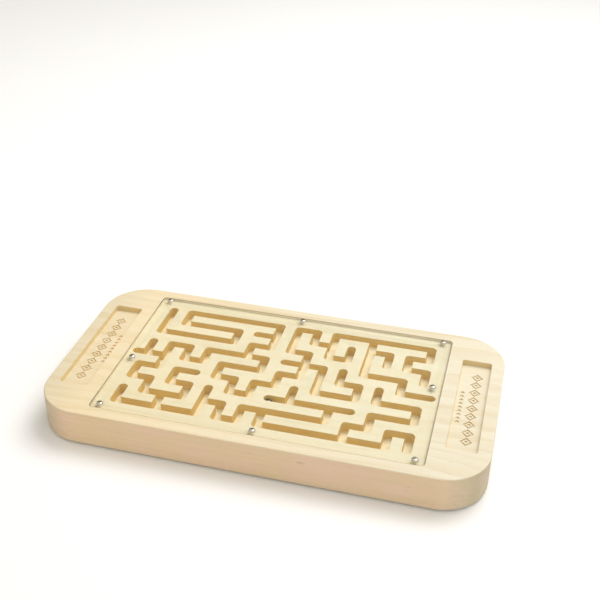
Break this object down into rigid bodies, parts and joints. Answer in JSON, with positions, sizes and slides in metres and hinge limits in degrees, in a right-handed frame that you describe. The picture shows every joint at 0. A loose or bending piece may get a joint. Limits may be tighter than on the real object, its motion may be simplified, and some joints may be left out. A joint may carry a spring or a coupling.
{
  "type": "tilt maze game",
  "caption": "Hand-held wooden tilt maze game: a rounded slab with a milled ball maze under a clear screwed cover on each face, and a finger pocket at each end.",
  "frame": {"origin": "under the slab's centre, on the plane that the heads of the lowest cover screws touch", "axes": "+X along the slab's long side, +Z out of the front (top) face, +Y along the short side, away from the viewer"},
  "size_m": [0.3, 0.157, 0.0284],
  "materials": {
    "wood": "sanded and clear-oiled light wood",
    "clear_acrylic": "clear polished sheet",
    "screw_steel": "nickel plated",
    "ball_steel": "polished"
  },
  "bodies": {
    "case": {"wooden_body": "wood", "front_cover": "clear_acrylic", "back_cover": "clear_acrylic", "front_screw_1": "screw_steel", "front_screw_2": "screw_steel", "front_screw_3": "screw_steel", "front_screw_4": "screw_steel", "front_screw_5": "screw_steel", "front_screw_6": "screw_steel", "front_screw_7": "screw_steel", "front_screw_8": "screw_steel", "back_screw_1": "screw_steel", "back_screw_2": "screw_steel", "back_screw_3": "screw_steel", "back_screw_4": "screw_steel", "back_screw_5": "screw_steel", "back_screw_6": "screw_steel", "back_screw_7": "screw_steel", "back_screw_8": "screw_steel"},
    "front_ball": {"front_ball": "ball_steel"},
    "back_ball": {"back_ball": "ball_steel"}
  },
  "joints": [
    {"name": "front_ball_roll", "type": "slide", "parent": "case", "child": "front_ball", "axis": [1, 0, 0], "range_m": [0, 0.0562]},
    {"name": "back_ball_roll", "type": "slide", "parent": "case", "child": "back_ball", "axis": [0, 1, 0], "range_m": [0, 0.0422]}
  ]
}
